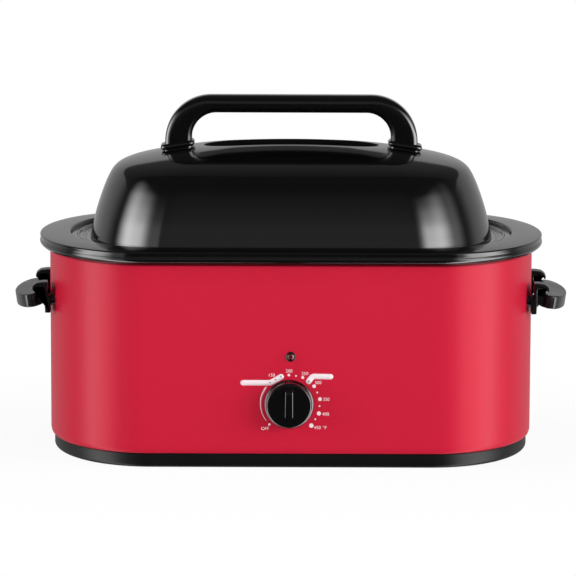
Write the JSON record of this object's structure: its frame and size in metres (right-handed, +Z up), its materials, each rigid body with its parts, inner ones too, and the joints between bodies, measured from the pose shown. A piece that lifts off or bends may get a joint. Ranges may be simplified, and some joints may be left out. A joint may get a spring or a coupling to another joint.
{
  "type": "electric roaster oven",
  "caption": "Countertop roaster oven: painted oval-ended body, black rim and base, lift-out pan and wire rack, domed lift-off lid with bow handle, side grips, dial knob and indicator light.",
  "frame": {"origin": "Centre of the plan, on the surface the feet stand on.", "axes": "+X runs along the body to the right side grip as the cook sees it, -Y faces the cook (knob side), +Z is up."},
  "size_m": [0.5952, 0.429, 0.3798],
  "materials": {
    "red_paint": "gloss",
    "rim_enamel": "gloss",
    "black_enamel": "gloss",
    "black_gloss": "gloss",
    "black_moulding": "satin",
    "white_moulding": "satin",
    "phenolic": "satin",
    "foot_rubber": "matt",
    "lead_sleeve": "matt",
    "zinc_sheet": "satin",
    "plain_steel": "satin",
    "rack_chrome": "polished",
    "copper": "satin",
    "brass": "satin",
    "mica": "satin",
    "glass_fibre": "matt",
    "steatite": "satin",
    "lamp_red": "gloss"
  },
  "bodies": {
    "base": {"shell_front": "red_paint", "shell_back": "red_paint", "base_band": "black_moulding", "bottom_plate": "zinc_sheet", "rubber_feet": "foot_rubber", "top_rim": "rim_enamel", "inner_liner": "zinc_sheet", "liner_standoffs": "plain_steel", "lower_heater_band": "mica", "upper_heater_band": "mica", "insulation_wrap": "glass_fibre", "thermostat_body": "phenolic", "thermostat_bracket": "zinc_sheet", "thermostat_screws": "plain_steel", "sensing_bulb": "copper", "bulb_clips": "zinc_sheet", "lamp_bezel": "black_moulding", "lamp_lens": "lamp_red", "lamp_housing": "white_moulding", "side_handle_left": "black_moulding", "side_handle_right": "black_moulding", "hook_posts_left": "black_moulding", "hook_posts_right": "black_moulding", "handle_screws": "plain_steel", "terminal_block": "steatite", "thermal_fuse": "plain_steel", "internal_leads": "lead_sleeve", "earth_screw": "brass", "base_screws": "plain_steel", "cord_gland": "black_moulding", "gland_nut": "black_moulding"},
    "pan": {"roasting_pan": "black_enamel"},
    "rack": {"roasting_rack": "rack_chrome"},
    "lid": {"lid_shell": "black_enamel", "lid_handle": "black_gloss", "handle_foot_left": "black_gloss", "handle_foot_right": "black_gloss", "lid_handle_screws": "plain_steel", "lid_screw_washers": "zinc_sheet"},
    "knob": {"control_knob": "black_gloss", "thermostat_shaft": "plain_steel", "knob_clip": "plain_steel"}
  },
  "joints": [
    {"name": "pan_lift", "type": "slide", "parent": "base", "child": "pan", "axis": [0, 0, 1], "range_m": [0, 0.22]},
    {"name": "rack_lift", "type": "slide", "parent": "pan", "child": "rack", "axis": [0, 0, 1], "range_m": [0, 0.18]},
    {"name": "lid_lift", "type": "slide", "parent": "rack", "child": "lid", "axis": [0, 0, 1], "range_m": [0, 0.2]},
    {"name": "knob_turn", "type": "hinge", "parent": "base", "child": "knob", "pos_m": [-0.0016, -0.2, 0.0696], "axis": [0, 1, 0], "range_deg": [-135, 135]}
  ]
}
